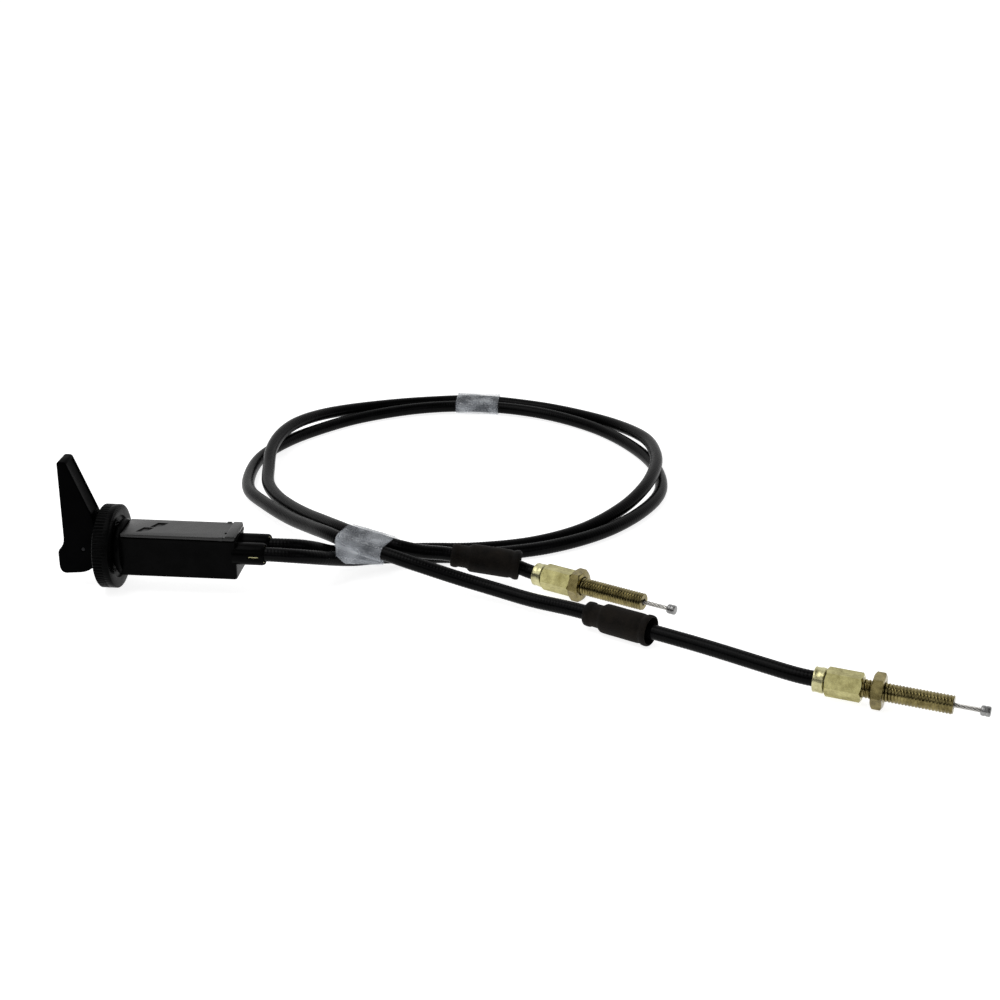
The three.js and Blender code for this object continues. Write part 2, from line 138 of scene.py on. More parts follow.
# ---------------------------------------------------------------- materials
def new_material(name):
    material = bpy.data.materials.new(name)
    material.use_nodes = True
    tree = material.node_tree
    shader = tree.nodes["Principled BSDF"]
    return material, tree, shader


def node(tree, kind, **inputs):
    made = tree.nodes.new(kind)
    for key, value in inputs.items():
        made.inputs[key.replace("_", " ")].default_value = value
    return made


def coordinates(tree):
    """Object coordinates, in metres: every piece's object sits at the origin of the frame."""
    return tree.nodes.new("ShaderNodeTexCoord").outputs["Object"]


def noise_texture(tree, scale, detail=3.0, roughness=0.55, where=None):
    texture = node(tree, "ShaderNodeTexNoise", Scale=scale, Detail=detail, Roughness=roughness)
    tree.links.new(where if where is not None else coordinates(tree), texture.inputs["Vector"])
    return texture.outputs["Fac"]


def ramp(tree, factor, stops):
    made = tree.nodes.new("ShaderNodeValToRGB")
    elements = made.color_ramp.elements
    while len(elements) < len(stops):
        elements.new(0.5)
    for element, (position, colour) in zip(elements, stops):
        element.position = position
        element.color = (*colour, 1.0)
    tree.links.new(factor, made.inputs["Fac"])
    return made.outputs["Color"]


def value_range(tree, factor, low, high, source=(0.3, 0.7)):
    made = node(tree, "ShaderNodeMapRange")
    made.inputs["From Min"].default_value = source[0]
    made.inputs["From Max"].default_value = source[1]
    made.inputs["To Min"].default_value = low
    made.inputs["To Max"].default_value = high
    tree.links.new(factor, made.inputs["Value"])
    return made.outputs["Result"]


def bump(tree, shader, height, strength, distance, before=None):
    made = node(tree, "ShaderNodeBump", Strength=strength, Distance=distance)
    tree.links.new(height, made.inputs["Height"])
    if before is not None:
        tree.links.new(before, made.inputs["Normal"])
    tree.links.new(made.outputs["Normal"], shader.inputs["Normal"])
    return made.outputs["Normal"]


def moulded(name, dark, light, roughness, grain_scale, grain_depth, specular):
    """Moulded plastic or rubber: slow colour drift, fine grain, and patchy gloss."""
    material, tree, shader = new_material(name)
    drift = noise_texture(tree, 160, 4)
    speck = noise_texture(tree, 2600, 2)
    mixed = node(tree, "ShaderNodeMath")
    mixed.operation = "MULTIPLY_ADD"
    mixed.inputs[1].default_value = 0.35
    tree.links.new(speck, mixed.inputs[0])
    tree.links.new(drift, mixed.inputs[2])
    colour = ramp(tree, mixed.outputs["Value"], [(0.45, dark), (0.92, light)])
    tree.links.new(colour, shader.inputs["Base Color"])
    tree.links.new(value_range(tree, drift, *roughness), shader.inputs["Roughness"])
    shader.inputs["Specular IOR Level"].default_value = specular
    grain = noise_texture(tree, grain_scale, 3)
    first = bump(tree, shader, grain, 0.6, grain_depth)
    bump(tree, shader, noise_texture(tree, 420, 3), 0.35, grain_depth * 3, first)
    return material


def plated(name, low, high, roughness, grain_scale=900, grain_depth=0.00002):
    """Plated metal: passivation colour that drifts, small stains, and a fine surface grain."""
    material, tree, shader = new_material(name)
    where = coordinates(tree)
    drift = noise_texture(tree, 260, 5, 0.65, where)
    stain = noise_texture(tree, 1500, 3, 0.6, where)
    mixed = node(tree, "ShaderNodeMath")
    mixed.operation = "MULTIPLY_ADD"
    mixed.inputs[1].default_value = 0.4
    tree.links.new(stain, mixed.inputs[0])
    tree.links.new(drift, mixed.inputs[2])
    colour = ramp(tree, mixed.outputs["Value"], [(0.45, low), (0.95, high)])
    tree.links.new(colour, shader.inputs["Base Color"])
    shader.inputs["Metallic"].default_value = 1.0
    tree.links.new(value_range(tree, stain, *roughness), shader.inputs["Roughness"])
    bump(tree, shader, noise_texture(tree, grain_scale, 3, 0.6, where), 0.6, grain_depth)
    return material


def clear_tape():
    """Cloudy clear tape: thin, glossy, wrinkled, and whiter where it has lifted."""
    material, tree, shader = new_material("clear_tape")
    where = coordinates(tree)
    cloud = noise_texture(tree, 120, 2, 0.5, where)
    colour = ramp(tree, cloud, [(0.3, (0.42, 0.45, 0.5)), (0.7, (0.62, 0.65, 0.69))])
    tree.links.new(colour, shader.inputs["Base Color"])
    tree.links.new(value_range(tree, cloud, 0.14, 0.42, (0.38, 0.62)), shader.inputs["Alpha"])
    tree.links.new(value_range(tree, cloud, 0.06, 0.2), shader.inputs["Roughness"])
    bump(tree, shader, noise_texture(tree, 700, 3, 0.6, where), 0.5, 0.00005)
    return material


def cable_jacket():
    """Satin vinyl jacket; the ribs are in the mesh, and this adds scuffs and fine grain."""
    material, tree, shader = new_material("cable_jacket")
    drift = noise_texture(tree, 120, 4)
    scuff = noise_texture(tree, 900, 4, 0.7)
    mixed = node(tree, "ShaderNodeMath")
    mixed.operation = "MULTIPLY_ADD"
    mixed.inputs[1].default_value = 0.5
    tree.links.new(scuff, mixed.inputs[0])
    tree.links.new(drift, mixed.inputs[2])
    colour = ramp(tree, mixed.outputs["Value"],
                  [(0.5, (0.0004, 0.0004, 0.0004)), (1.0, (0.0026, 0.0026, 0.0029))])
    tree.links.new(colour, shader.inputs["Base Color"])
    tree.links.new(value_range(tree, scuff, 0.2, 0.34), shader.inputs["Roughness"])
    shader.inputs["Specular IOR Level"].default_value = 0.05
    bump(tree, shader, noise_texture(tree, 2400, 2), 0.4, 0.00003)
    return material


MATERIALS = {
    "black_plastic": moulded("black_plastic", (0.0006, 0.0006, 0.0006), (0.0022, 0.0022, 0.0023),
                             (0.2, 0.34), 1900, 0.00003, 0.02),
    # The cover's copy of the black plastic: more gloss, and a lighter base colour that is painted light
    # for its lit top.
    "cover_plastic_painted_light": moulded("cover_plastic_painted_light", (0.0008, 0.0008, 0.0008), (0.0032, 0.0032, 0.0032),
                             (0.2, 0.34), 1900, 0.00003, 0.36),
    # The lever's copy of the black plastic: weaker reflection, and a darker base colour that is painted
    # shade for its shaded thumb face.
    "lever_plastic": moulded("lever_plastic", (0.0004, 0.0004, 0.0005), (0.0014, 0.0014, 0.0016),
                             (0.24, 0.38), 2600, 0.00004, 0.008),
    "rubber": moulded("rubber", (0.0008, 0.0007, 0.0006), (0.014, 0.011, 0.0083),
                      (0.6, 0.8), 1500, 0.00007, 0.08),
    "cable_jacket": cable_jacket(),
    "bright_zinc": plated("bright_zinc", (0.3, 0.275, 0.13), (0.68, 0.65, 0.38), (0.26, 0.38)),
    "yellow_zinc": plated("yellow_zinc", (0.19, 0.165, 0.055), (0.54, 0.505, 0.235), (0.13, 0.24)),
    "olive_zinc": plated("olive_zinc", (0.07, 0.055, 0.019), (0.34, 0.285, 0.12), (0.18, 0.32)),
    "steel": plated("steel", (0.3, 0.29, 0.27), (0.66, 0.65, 0.62), (0.2, 0.34)),
    "dark_steel": plated("dark_steel", (0.006, 0.006, 0.006), (0.02, 0.02, 0.021), (0.24, 0.4)),
    "zinc_alloy": plated("zinc_alloy", (0.16, 0.16, 0.16), (0.42, 0.42, 0.41), (0.26, 0.4), 1400,
                         0.00003),
    "clear_tape": clear_tape(),
}


# ---------------------------------------------------------------- mesh tools
def skin(rings, wrap=True, closed=False, caps=(False, False)):
    """A surface through rings of points. wrap joins each ring's ends, closed joins last to first."""
    bm = bmesh.new()
    loops = [[bm.verts.new(p) for p in ring] for ring in rings]
    count = len(rings[0])
    around = count if wrap else count - 1
    pairs = list(zip(loops, loops[1:])) + ([(loops[-1], loops[0])] if closed else [])
    for first, second in pairs:
        for i in range(around):
            j = (i + 1) % count
            bm.faces.new((first[i], first[j], second[j], second[i]))
    if caps[0]:
        bm.faces.new(loops[0][::-1])
    if caps[1]:
        bm.faces.new(loops[-1])
    return bm


def turned(profile, sides=48):
    """A turned solid about X from (x, r) points; r = 0 at both ends makes it solid."""
    solid = profile[0][1] == 0 and profile[-1][1] == 0
    used = profile[1:-1] if solid else profile
    rings = [[(x, r * math.cos(2 * math.pi * i / sides), r * math.sin(2 * math.pi * i / sides))
              for i in range(sides)] for x, r in used]
    return skin(rings, closed=not solid, caps=(solid, solid))


def rounded_box(x0, x1, y0, y1, z0, z1, radius, upright=None, segments=3):
    """A box with rounded edges; upright is a larger radius for the four edges along Z."""
    bm = bmesh.new()
    bmesh.ops.create_cube(bm, size=1)
    bmesh.ops.scale(bm, vec=(x1 - x0, y1 - y0, z1 - z0), verts=bm.verts)
    bmesh.ops.translate(bm, vec=((x0 + x1) / 2, (y0 + y1) / 2, (z0 + z1) / 2), verts=bm.verts)
    if upright:
        edges = [e for e in bm.edges if abs(e.verts[0].co.z - e.verts[1].co.z) > 1e-6]
        bmesh.ops.bevel(bm, geom=edges, offset=upright, segments=5, affect="EDGES", profile=0.5)
        flat = [e for e in bm.edges if abs(e.verts[0].co.z - e.verts[1].co.z) < 1e-6]
        bmesh.ops.bevel(bm, geom=flat, offset=radius, segments=segments, affect="EDGES",
                        profile=0.5)
    else:
        bmesh.ops.bevel(bm, geom=bm.edges[:], offset=radius, segments=segments,
                        affect="EDGES", profile=0.5)
    return bm


def shifted(bm, x=0.0, y=0.0, z=0.0):
    bmesh.ops.translate(bm, vec=(x, y, z), verts=bm.verts)
    return bm


def moved(bm, matrix):
    bmesh.ops.transform(bm, matrix=matrix, verts=bm.verts)
    return bm


def prism(outline, y0, y1):
    """An XZ outline made into a solid from y0 to y1."""
    bm = bmesh.new()
    near = [bm.verts.new((x, y0, z)) for x, z in outline]
    far = [bm.verts.new((x, y1, z)) for x, z in outline]
    bm.faces.new(near)
    bm.faces.new(far[::-1])
    for i in range(len(outline)):
        j = (i + 1) % len(outline)
        bm.faces.new((near[j], near[i], far[i], far[j]))
    bmesh.ops.recalc_face_normals(bm, faces=bm.faces)
    return bm


def hexagon(across_flats, x0, x1):
    radius = across_flats / math.sqrt(3)
    rings = [[(x, radius * math.cos(math.pi * i / 3), radius * math.sin(math.pi * i / 3))
              for i in range(6)] for x in (x0, x1)]
    return skin(rings, caps=(True, True))


def joined(*parts):
    """Several meshes as one, for tools that don't overlap each other."""
    whole = bmesh.new()
    for bm in parts:
        mesh = bpy.data.meshes.new("join")
        bm.to_mesh(mesh)
        bm.free()
        whole.from_mesh(mesh)
        bpy.data.meshes.remove(mesh)
    return whole


def temporary(bm, name):
    bmesh.ops.recalc_face_normals(bm, faces=bm.faces)
    mesh = bpy.data.meshes.new(name)
    bm.to_mesh(mesh)
    bm.free()
    obj = bpy.data.objects.new(name, mesh)
    scene.collection.objects.link(obj)
    return obj


def combined(base, *steps):
    """Adds to and cuts from a mesh: each step is (operation, mesh)."""
    obj = temporary(base, "work")
    for operation, tool_mesh in steps:
        tool = temporary(tool_mesh, "tool")
        modifier = obj.modifiers.new("boolean", "BOOLEAN")
        modifier.operation = operation
        modifier.solver = "EXACT"
        modifier.object = tool
        result = bpy.data.meshes.new_from_object(
            obj.evaluated_get(bpy.context.evaluated_depsgraph_get()))
        obj.modifiers.clear()
        spent = obj.data
        obj.data = result
        bpy.data.meshes.remove(spent)
        spent = tool.data
        bpy.data.objects.remove(tool)
        bpy.data.meshes.remove(spent)
    bm = bmesh.new()
    bm.from_mesh(obj.data)
    spent = obj.data
    bpy.data.objects.remove(obj)
    bpy.data.meshes.remove(spent)
    bmesh.ops.remove_doubles(bm, verts=bm.verts, dist=1e-4)
    bmesh.ops.dissolve_degenerate(bm, edges=bm.edges, dist=1e-4)
    return bm


def piece(bm, name, slot, body, *stands_for, sharp=32.0, finish=None):
    """Makes a finished object, in metres, that rides on a body and stands for CAD nodes."""
    bmesh.ops.recalc_face_normals(bm, faces=bm.faces)
    for face in bm.faces:
        face.smooth = True
    for edge in bm.edges:
        edge.smooth = (len(edge.link_faces) == 2
                       and edge.calc_face_angle(0) < math.radians(sharp))
    mesh = bpy.data.meshes.new(name)
    bm.to_mesh(mesh)
    bm.free()
    mesh.transform(Matrix.Scale(MM, 4) @ Matrix.Translation((CENTRE_SHIFT, 0, 0)))
    mesh.materials.append(MATERIALS[finish or slot])
    obj = bpy.data.objects.new(name, mesh)
    scene.collection.objects.link(obj)
    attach(obj, body)
    if stands_for:
        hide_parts(*stands_for)
    return obj


def threaded(x0, x1, outer, depth, pitch, bore, sides=40, per_pitch=8):
    """A tube with a real helical thread outside, run out at both ends, and a plain bore."""
    steps = round((x1 - x0) / pitch * per_pitch)
    rings = []
    for k in range(steps + 1):
        x = x0 + (x1 - x0) * k / steps
        room = min(x - x0, x1 - x)
        ring = []
        for i in range(sides):
            turn = i / sides
            phase = (x / pitch - turn) % 1.0
            crest = 1 - min(1.0, max(0.0, abs(2 * phase - 1) * 1.25 - 0.125))
            radius = min(outer - depth * (1 - crest), outer - depth + room)
            ring.append((x, radius * math.cos(2 * math.pi * turn),
                         radius * math.sin(2 * math.pi * turn)))
        rings.append(ring)
    for x in (x1, x0):
        rings.append([(x, bore * math.cos(2 * math.pi * i / sides),
                       bore * math.sin(2 * math.pi * i / sides)) for i in range(sides)])
    return skin(rings, closed=True)


def sweep(points, radius_at, sides):
    """A capped tube along points with a frame that does not twist; radius_at(length, turn)."""
    points = [Vector(p) for p in points]
    tangents = []
    for i in range(len(points)):
        before, after = points[max(i - 1, 0)], points[min(i + 1, len(points) - 1)]
        tangents.append((after - before).normalized())
    side = tangents[0].cross(Vector((0, 0, 1)))
    if side.length < 1e-6:
        side = Vector((0, 1, 0))
    side.normalize()
    rings, run = [], 0.0
    for i, (point, tangent) in enumerate(zip(points, tangents)):
        if i:
            run += (point - points[i - 1]).length
        side = (side - tangent * side.dot(tangent)).normalized()
        up = tangent.cross(side)
        ring = []
        for j in range(sides):
            turn = j / sides
            radius = radius_at(run, turn)
            angle = 2 * math.pi * turn
            ring.append(point + (side * math.cos(angle) + up * math.sin(angle)) * radius)
        rings.append(ring)
    return skin(rings, caps=(True, True))


def catmull_rom(points, spacing):
    """Evenly spaced points on the uniform Catmull-Rom curve that the CAD cable follows."""
    points = [Vector(p) for p in points]
    first = points[0] * 2 - points[1]
    last = points[-1] * 2 - points[-2]
    row = [first, *points, last]
    fine = []
    for i in range(1, len(row) - 2):
        p0, p1, p2, p3 = row[i - 1:i + 3]
        for step in range(24):
            t = step / 24
            fine.append(0.5 * (2 * p1 + (p2 - p0) * t + (2 * p0 - 5 * p1 + 4 * p2 - p3) * t * t
                               + (3 * p1 - p0 - 3 * p2 + p3) * t ** 3))
    fine.append(points[-1])
    runs = [0.0]
    for a, b in zip(fine, fine[1:]):
        runs.append(runs[-1] + (b - a).length)
    count = round(runs[-1] / spacing)
    even, k = [], 0
    for n in range(count + 1):
        target = runs[-1] * n / count
        while k < len(runs) - 2 and runs[k + 1] < target:
            k += 1
        share = (target - runs[k]) / (runs[k + 1] - runs[k])
        even.append(fine[k].lerp(fine[k + 1], share))
    return even


# ---------------------------------------------------------------- placements
def adjuster_place(number):
    spot = ADJUSTERS[number]
    turn = Matrix.Rotation(math.radians(spot["heading"]), 4, "Z")
    return Matrix.Translation(Vector(spot["at"])) @ turn


def boot_place(number):
    start, end = (Vector(p) for p in BOOT_PLACES[number])
    turn = Vector((1, 0, 0)).rotation_difference(end - start).to_matrix().to_4x4()
    return Matrix.Translation(start) @ turn


# ---------------------------------------------------------------- cables
RIB_PITCH = 1.15
RIB_DEPTH = 0.03
CABLE_SPACING = 0.32


def cable(number, route):
    end = adjuster_place(number) @ Vector((FERRULE_LEN - CABLE_END_INSET, 0, 0))
    points = catmull_rom([*route, end], CABLE_SPACING)

    def radius(run, turn):
        wave = math.cos(2 * math.pi * (run / RIB_PITCH - turn))
        return CABLE_R - RIB_DEPTH + RIB_DEPTH * wave

    obj = piece(sweep(points, radius, 20), f"cable_jacket_{number}", "cable_jacket", "base",
                f"cable_{number}", sharp=60)
    shift = Vector((CENTRE_SHIFT, 0, 0))
    return obj, [tuple((p + shift) * MM) for p in [*points[::12], points[-1]]]


cables = {1: cable(1, ROUTE_1), 2: cable(2, ROUTE_2)}


# ---------------------------------------------------------------- housing
def housing():
    body = rounded_box(BODY_FRONT, BODY_BACK, -BODY_HALF_W, BODY_HALF_W, BODY_BOTTOM, BODY_TOP,
                       0.35, upright=0.9)
    collar = turned([(COLLAR_FRONT, 0), (COLLAR_FRONT, COLLAR_R - 0.3),
                     (COLLAR_FRONT + 0.3, COLLAR_R), (BODY_FRONT + 0.8, COLLAR_R),
                     (BODY_FRONT + 1.3, COLLAR_R - 0.5), (BODY_FRONT + 1.3, 0)], 72)
    neck = threaded(NECK_FRONT, COLLAR_FRONT + 0.4, NECK_R, 0.55, 1.0, BORE_R, 64, 7)
    web = rounded_box(BODY_BACK - WALL, SOCKET_END - 4, -OUTLET_Y, OUTLET_Y,
                      OUTLET_Z - 2.4, OUTLET_Z + 2.4, 0.4)
    steps = [("UNION", shifted(collar, z=AXIS_Z)), ("UNION", web)]
    # A thin ledge round the tray under the cover.
    steps.append(("UNION", rounded_box(BODY_FRONT + 0.6, BODY_BACK, -BODY_HALF_W - 0.12,
                                       BODY_HALF_W + 0.12, BODY_TOP - 1.1, BODY_TOP, 0.1)))
    for side in (-1, 1):
        socket = turned([
            (BODY_BACK - WALL, 0), (BODY_BACK - WALL, SOCKET_R), (SOCKET_END - 1.0, SOCKET_R),
            (SOCKET_END - 0.45, SOCKET_R - 0.14), (SOCKET_END - 0.12, SOCKET_R - 0.38),
            (SOCKET_END, SOCKET_R - 0.6), (SOCKET_END, 0)], 56)
        steps.append(("UNION", shifted(socket, y=side * OUTLET_Y, z=OUTLET_Z)))
    steps.append(("DIFFERENCE", rounded_box(
        BODY_FRONT + WALL, BODY_BACK - WALL, -BODY_HALF_W + WALL, BODY_HALF_W - WALL,
        BODY_BOTTOM + WALL, COVER_TOP + 2, 0.4)))
    bores, slots = [], []
    for side in (-1, 1):
        bores.append(shifted(turned([
            (BODY_BACK - 3, 0), (BODY_BACK - 3, 1.3), (SOCKET_FLOOR, 1.3),
            (SOCKET_FLOOR, SOCKET_BORE_R), (SOCKET_END - 0.3, SOCKET_BORE_R),
            (SOCKET_END + 0.4, SOCKET_BORE_R + 0.7), (SOCKET_END + 0.4, 0)], 48),
            y=side * OUTLET_Y, z=OUTLET_Z))
        # The moulding slot in the outer side of each socket, where the ferrule shows.
        near = side * (OUTLET_Y + 2.6)
        far = side * (OUTLET_Y + SOCKET_R + 1)
        slots.append(rounded_box(30.0, 33.6, min(near, far), max(near, far),
                                 OUTLET_Z - 0.45, OUTLET_Z + 0.45, 0.12))
    steps.append(("DIFFERENCE", joined(*bores)))
    steps.append(("DIFFERENCE", joined(*slots)))
    shell = combined(body, *steps)
    bore = shifted(turned([(COLLAR_FRONT - 1, 0), (COLLAR_FRONT - 1, BORE_R),
                           (BODY_FRONT + WALL + 1, BORE_R), (BODY_FRONT + WALL + 1, 0)], 48),
                   z=AXIS_Z)
    shell = combined(shell, ("DIFFERENCE", bore), ("UNION", shifted(neck, z=AXIS_Z)))
    return piece(shell, "housing_body", "black_plastic", "base", "housing")


def housing_cover():
    plate = rounded_box(BODY_FRONT, BODY_BACK, -BODY_HALF_W, BODY_HALF_W, COVER_BOTTOM,
                        COVER_TOP, 0.28, upright=0.9)
    rim = rounded_box(BODY_BACK - 3.4, BODY_BACK - 0.15, -BODY_HALF_W + 0.1, BODY_HALF_W - 0.1,
                      COVER_TOP - 0.4, RIM_TOP, 0.44, segments=4)
    lip_half_w = BODY_HALF_W - WALL - 0.3
    lip = rounded_box(BODY_FRONT + 1.5, BODY_BACK - 1.5, -lip_half_w, lip_half_w, BODY_TOP - 0.7,
                      COVER_BOTTOM + 0.2, 0.2)
    # Snap lug on each front corner of the rim.
    lugs = [rounded_box(BODY_BACK - 5.6, BODY_BACK - 4.0, min(y, y + s), max(y, y + s),
                        COVER_BOTTOM + 0.1, COVER_TOP + 0.25, 0.2)
            for y, s in ((-BODY_HALF_W - 0.25, 0.9), (BODY_HALF_W + 0.25, -0.9))]
    relief = turned([(COLLAR_FRONT - 1, 0), (COLLAR_FRONT - 1, COLLAR_R + 0.3),
                     (BODY_FRONT + 1.5, COLLAR_R + 0.3), (BODY_FRONT + 1.5, 0)], 72)
    # Two plain recessed bars, side by side, as moulding marks.
    marks = []
    slant = Matrix.Identity(4)
    slant[0][1] = 0.5
    for x, y in ((-6.7, -2.2), (-2.9, 2.1)):
        mark = rounded_box(-1.8, 1.8, -1.9, 1.9, COVER_TOP - 0.5, COVER_TOP + 0.6, 0.08)
        marks.append(shifted(moved(mark, slant), x=x, y=y))
    notch = rounded_box(BODY_BACK - 4.3, BODY_BACK - 3.0, -3.4, -2.2, COVER_TOP - 0.6,
                        COVER_TOP + 0.3, 0.1)
    steps = [("UNION", rim), ("UNION", lip), ("UNION", joined(*lugs)),
             ("DIFFERENCE", shifted(relief, z=AXIS_Z)), ("DIFFERENCE", joined(*marks, notch))]
    # The cover is the same black plastic; its finish is a lighter copy, painted light for the lit top.
    return piece(combined(plate, *steps), "cover_plate", "black_plastic", "base",
                 "housing_cover", finish="cover_plastic_painted_light")


# ---------------------------------------------------------------- panel nut
def panel_nut():
    sides = NUT_TEETH * 6
    tooth = 0.3
    stations = [  # x, how far below the rim, how much of the tooth shows
        (NUT_FRONT, 0.45, 0.0), (NUT_FRONT + 0.18, 0.2, 0.2), (NUT_FRONT + 0.4, 0.0, 1.0),
        (NUT_FRONT + 3.3, 0.0, 1.0), (NUT_FRONT + 3.6, 0.0, 0.0),
        (NUT_BACK - 0.3, 0.0, 0.0), (NUT_BACK - 0.1, 0.12, 0.0), (NUT_BACK, 0.32, 0.0),
    ]
    rings = []
    for x, drop, share in stations:
        ring = []
        for i in range(sides):
            turn = i / sides
            phase = (turn * NUT_TEETH) % 1.0
            valley = max(0.0, 1 - abs(phase - 0.5) / 0.3)
            radius = NUT_R - drop - tooth * share * valley
            angle = 2 * math.pi * turn - math.pi / 2
            ring.append((x, radius * math.cos(angle), radius * math.sin(angle)))
        rings.append(ring)

    def plain(x, radius):
        return [(x, radius * math.cos(2 * math.pi * i / sides - math.pi / 2),
                 radius * math.sin(2 * math.pi * i / sides - math.pi / 2))
                for i in range(sides)]

    bore = NECK_R + 0.2
    rings += [plain(NUT_BACK, bore + 3.2), plain(NUT_BACK, bore + 2.6),
              plain(NUT_BACK - 0.7, bore + 2.3), plain(NUT_BACK - 0.7, bore + 0.6),
              plain(NUT_BACK - 1.2, bore), plain(NUT_FRONT + 0.6, bore),
              plain(NUT_FRONT, bore + 0.6), plain(NUT_FRONT, bore + 2.4),
              plain(NUT_FRONT + 0.5, bore + 2.8), plain(NUT_FRONT + 0.5, NUT_R - 2.2),
              plain(NUT_FRONT, NUT_R - 1.8)]
    return piece(shifted(skin(rings, closed=True), z=AXIS_Z), "knurled_nut", "black_plastic",
                 "panel_nut_body", "panel_nut")


# ---------------------------------------------------------------- lever, pin, plunger
def lever_outline():
    """The outline about the pivot, with its involute cam and rounded corners."""
    rate = PLUNGER_STROKE / LEVER_TRAVEL

    def cam(angle):
        support = CAM_GAP + rate * angle
        return (support * math.cos(angle) - rate * math.sin(angle),
                -support * math.sin(angle) - rate * math.cos(angle))

    corners = [(-6.45, 32, 1.1), (-6.7, 1.4, 2.5), (-9.1, -0.9, 1.2)]
    outline = []

    def arc(before, corner, after, reach):
        a, c, b = Vector(before), Vector(corner), Vector(after)
        start = c + (a - c).normalized() * reach
        end = c + (b - c).normalized() * reach
        return [tuple(start * (1 - t) ** 2 + c * 2 * t * (1 - t) + end * t * t)
                for t in (0, 0.25, 0.5, 0.75, 1)]

    flat_end = cam(LEVER_TRAVEL)
    heel = (-6.6, flat_end[1] - 0.41)
    ring = [LEVER_TIP, *[c[:2] for c in corners], LEVER_BACK]
    for i, (x, z, reach) in enumerate(corners):
        outline += arc(ring[i], (x, z), ring[i + 2], reach)
    start, control = Vector(LEVER_BACK), Vector((-8.9, -9.35))
    for t in [k / 8 for k in range(9)]:
        outline.append(tuple(start * (1 - t) ** 2 + control * 2 * t * (1 - t)
                             + Vector(heel) * t * t))
    for i in range(20, -1, -1):
        outline.append(cam(LEVER_TRAVEL * i / 20))
    outline += arc(cam(0), (CAM_GAP, 9.6), LEVER_FOOT, 0.8)
    outline += arc((CAM_GAP, 9.6), LEVER_FOOT, LEVER_TIP, 1.0)
    outline += arc(LEVER_FOOT, LEVER_TIP, (-6.45, 32), 0.8)
    return outline


def lever():
    bm = prism(lever_outline(), -LEVER_HALF_W, LEVER_HALF_W)
    rim = [e for e in bm.edges if abs(e.verts[0].co.y - e.verts[1].co.y) < 1e-6]
    bmesh.ops.bevel(bm, geom=rim, offset=0.5, segments=4, affect="EDGES", profile=0.5)
    slot = rounded_box(-3.5, 12, -1.8, 1.8, -16, 3.5, 0.15)
    hole = moved(turned([(-6, 0), (-6, 0.95), (-3.4, 0.95), (-3.4, PIN_HOLE_R), (3.4, PIN_HOLE_R),
                         (3.4, 0.95), (6, 0.95), (6, 0)], 40),
                 Matrix.Rotation(math.pi / 2, 4, "Z"))
    # The thumb face is a shallow panel inside a raised border.
    foot, tip = (Vector((x, 0, z)) for x, z in (LEVER_FOOT, LEVER_TIP))
    along = tip - foot
    panel = rounded_box(-0.45, 2, -LEVER_HALF_W + 0.75, LEVER_HALF_W - 0.75,
                        1.0, along.length - 1.0, 0.3)
    lean = math.atan2(along.x, along.z)
    panel = moved(panel, Matrix.Translation(foot) @ Matrix.Rotation(lean, 4, "Y"))
    bm = combined(bm, ("DIFFERENCE", slot), ("DIFFERENCE", hole), ("DIFFERENCE", panel))
    return piece(shifted(bm, x=PIVOT_X, z=AXIS_Z), "cam_lever", "lever_plastic", "lever_body",
                 "lever", sharp=28)


def pivot_pin():
    half = LEVER_HALF_W - 0.12
    shoulder = 3.3
    bm = turned([(-half, 0), (-half, 0.6), (-half + 0.15, 0.8), (-shoulder, 0.8),
                 (-shoulder, 1.5), (shoulder, 1.5), (shoulder, 0.8), (half - 0.15, 0.8),
                 (half, 0.6), (half, 0)], 36)
    bm = moved(bm, Matrix.Rotation(math.pi / 2, 4, "Z"))
    return piece(shifted(bm, x=PIVOT_X, z=AXIS_Z), "lever_pin", "dark_steel", "plunger_body",
                 "pivot_pin")


def plunger():
    eye = moved(turned([(-1.5, 0), (-1.5, 2.7), (-1.2, 3.0), (1.2, 3.0), (1.5, 2.7),
                        (1.5, 0)], 40), Matrix.Rotation(math.pi / 2, 4, "Z"))
    neck = rounded_box(PIVOT_X, -18, -1.5, 1.5, AXIS_Z - 3, AXIS_Z + 3, 0.25)
    rod = shifted(turned([(-19, 0), (-19, 3.1), (-18.7, 3.4), (3.5, 3.4), (3.5, 0)], 48),
                  z=AXIS_Z)
    carriage = rounded_box(3, 15, -5.3, 5.3, 9.2, 19.4, 0.4)
    cuts = [shifted(moved(turned([(-4, 0), (-4, 1.8), (4, 1.8), (4, 0)], 36),
                          Matrix.Rotation(math.pi / 2, 4, "Z")), x=PIVOT_X, z=AXIS_Z)]
    for side in (-1, 1):
        for x0, x1, inner, half_h in ((5.7, 10.7, 1.8, 1.8), (10.4, 16, 1.1, 1.1)):
            near, far = side * (OUTLET_Y - inner), side * 6.3
            cuts.append(rounded_box(x0, x1, min(near, far), max(near, far),
                                    OUTLET_Z - half_h, OUTLET_Z + half_h, 0.1))
    steps = [("UNION", neck), ("UNION", rod), ("UNION", carriage)]
    steps += [("DIFFERENCE", tool) for tool in cuts]
    bm = combined(shifted(eye, x=PIVOT_X, z=AXIS_Z), *steps)
    return piece(bm, "pull_plunger", "black_plastic", "plunger_body", "plunger")


# ---------------------------------------------------------------- wires and ferrules
def stranded(x0, x1, y, z, lay=9.0):
    """A seven-strand wire along X: one core and six strands laid round it."""
    strand = WIRE_R / 3
    count = round((x1 - x0) / 0.7)
    parts = [sweep([(x0, y, z), (x1, y, z)], lambda run, turn: strand, 10)]
    for n in range(6):
        points = []
        for k in range(count + 1):
            x = x0 + (x1 - x0) * k / count
            angle = 2 * math.pi * (n / 6 + x / lay)
            points.append((x, y + 2 * strand * math.cos(angle), z + 2 * strand * math.sin(angle)))
        parts.append(sweep(points, lambda run, turn: strand, 10))
    return joined(*parts)


